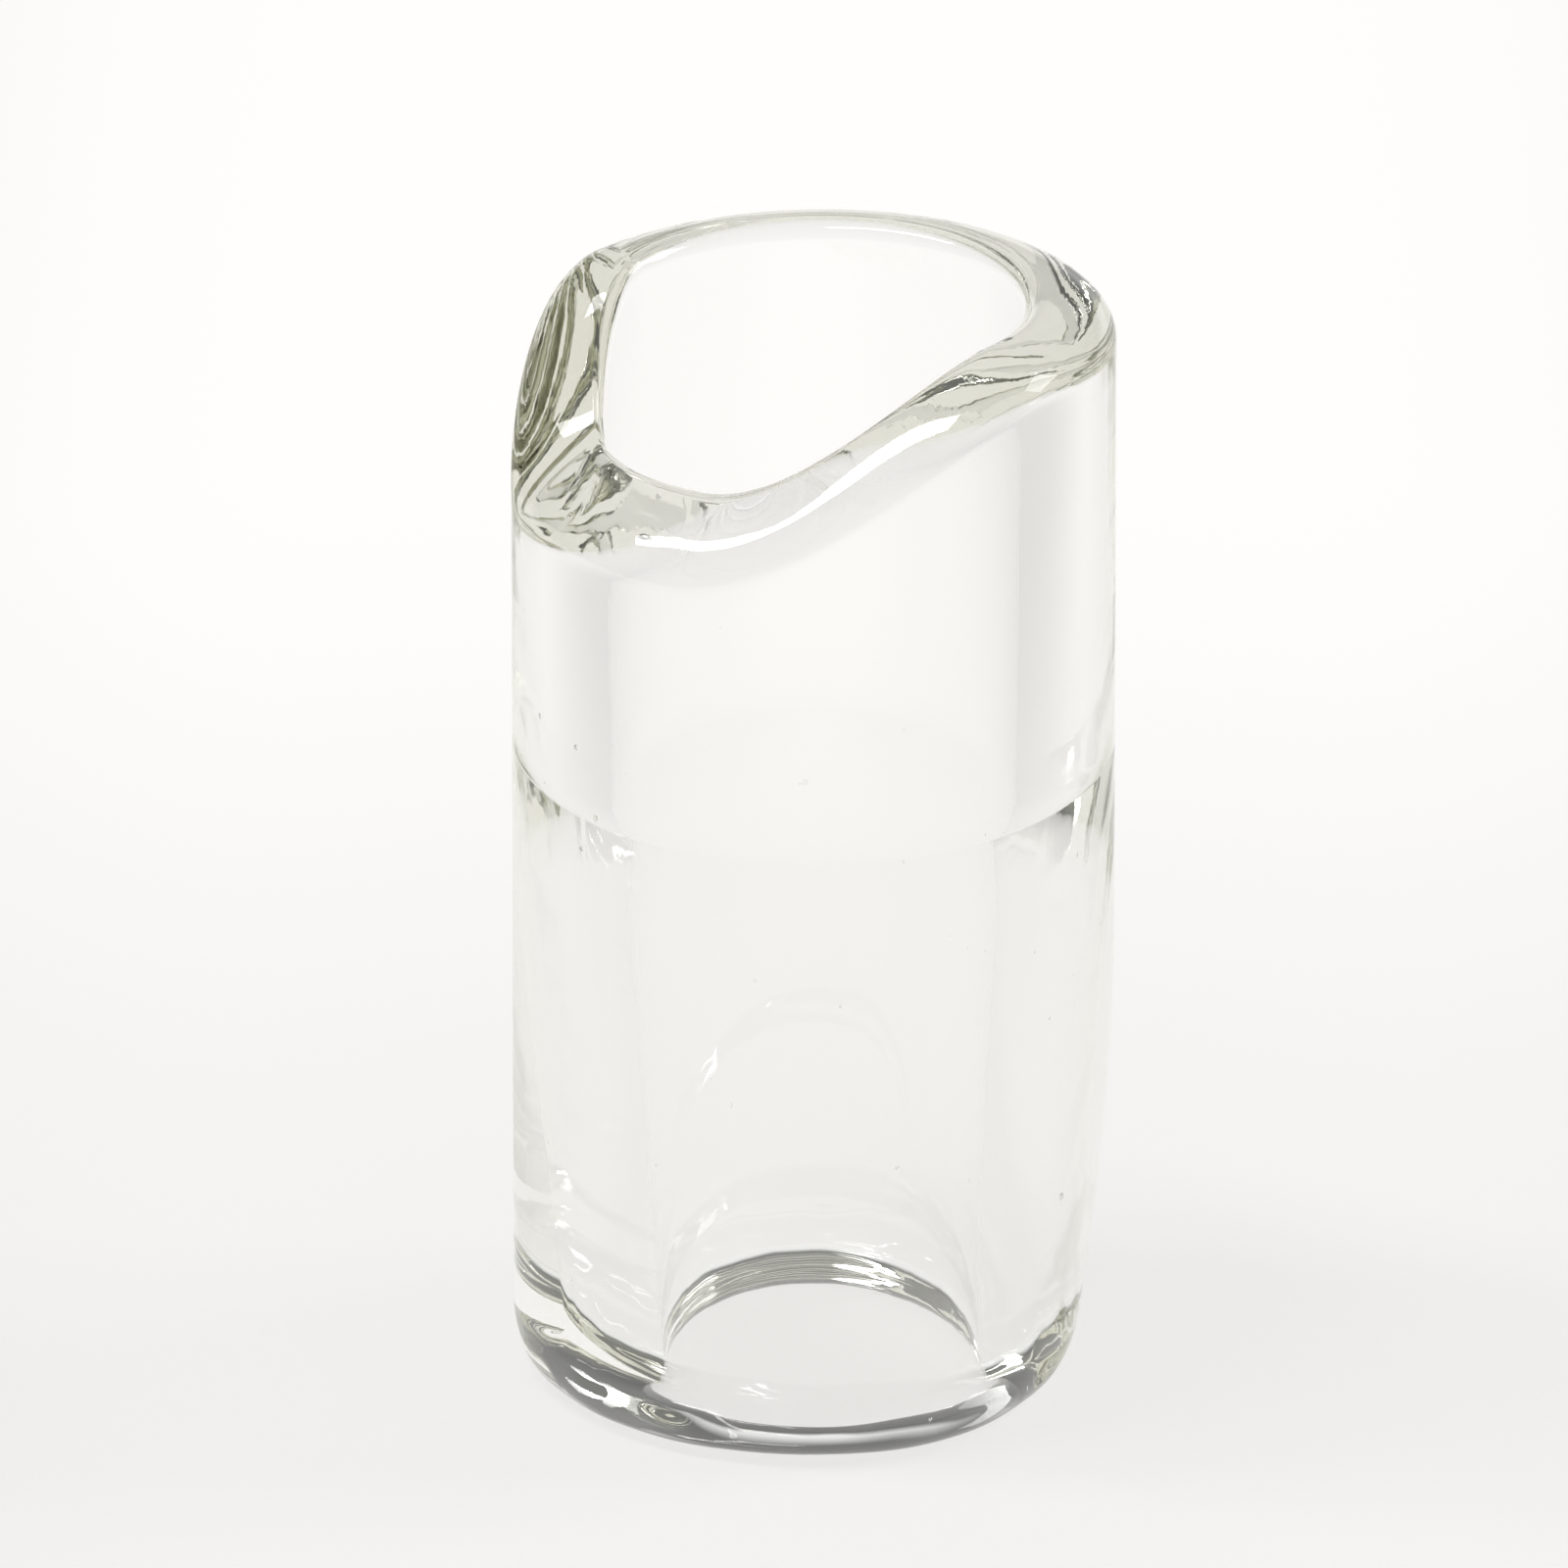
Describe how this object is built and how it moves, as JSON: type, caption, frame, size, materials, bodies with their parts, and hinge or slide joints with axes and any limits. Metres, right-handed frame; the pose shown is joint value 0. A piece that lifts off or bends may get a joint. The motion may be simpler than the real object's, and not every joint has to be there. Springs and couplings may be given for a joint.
{
  "type": "guitar slide",
  "caption": "Clear moulded glass guitar slide: a thick-walled tube open at both ends, with a scooped finger mouth, a bore that narrows below mid-height and a rounded tip.",
  "frame": {"origin": "centre of the tip's flat ring, on the tube's axis, where the slide stands", "axes": "+Z along the tube's axis from the tip to the finger mouth; -Y is the front, and the scoop in the rim faces front-left (-X, -Y)"},
  "size_m": [0.029, 0.029, 0.055],
  "materials": {
    "clear_glass": "fire-polished clear glass, colourless with a faint grey-green cast at the thick edges"
  },
  "bodies": {
    "root": {"glass_slide": "clear_glass"}
  },
  "joints": []
}
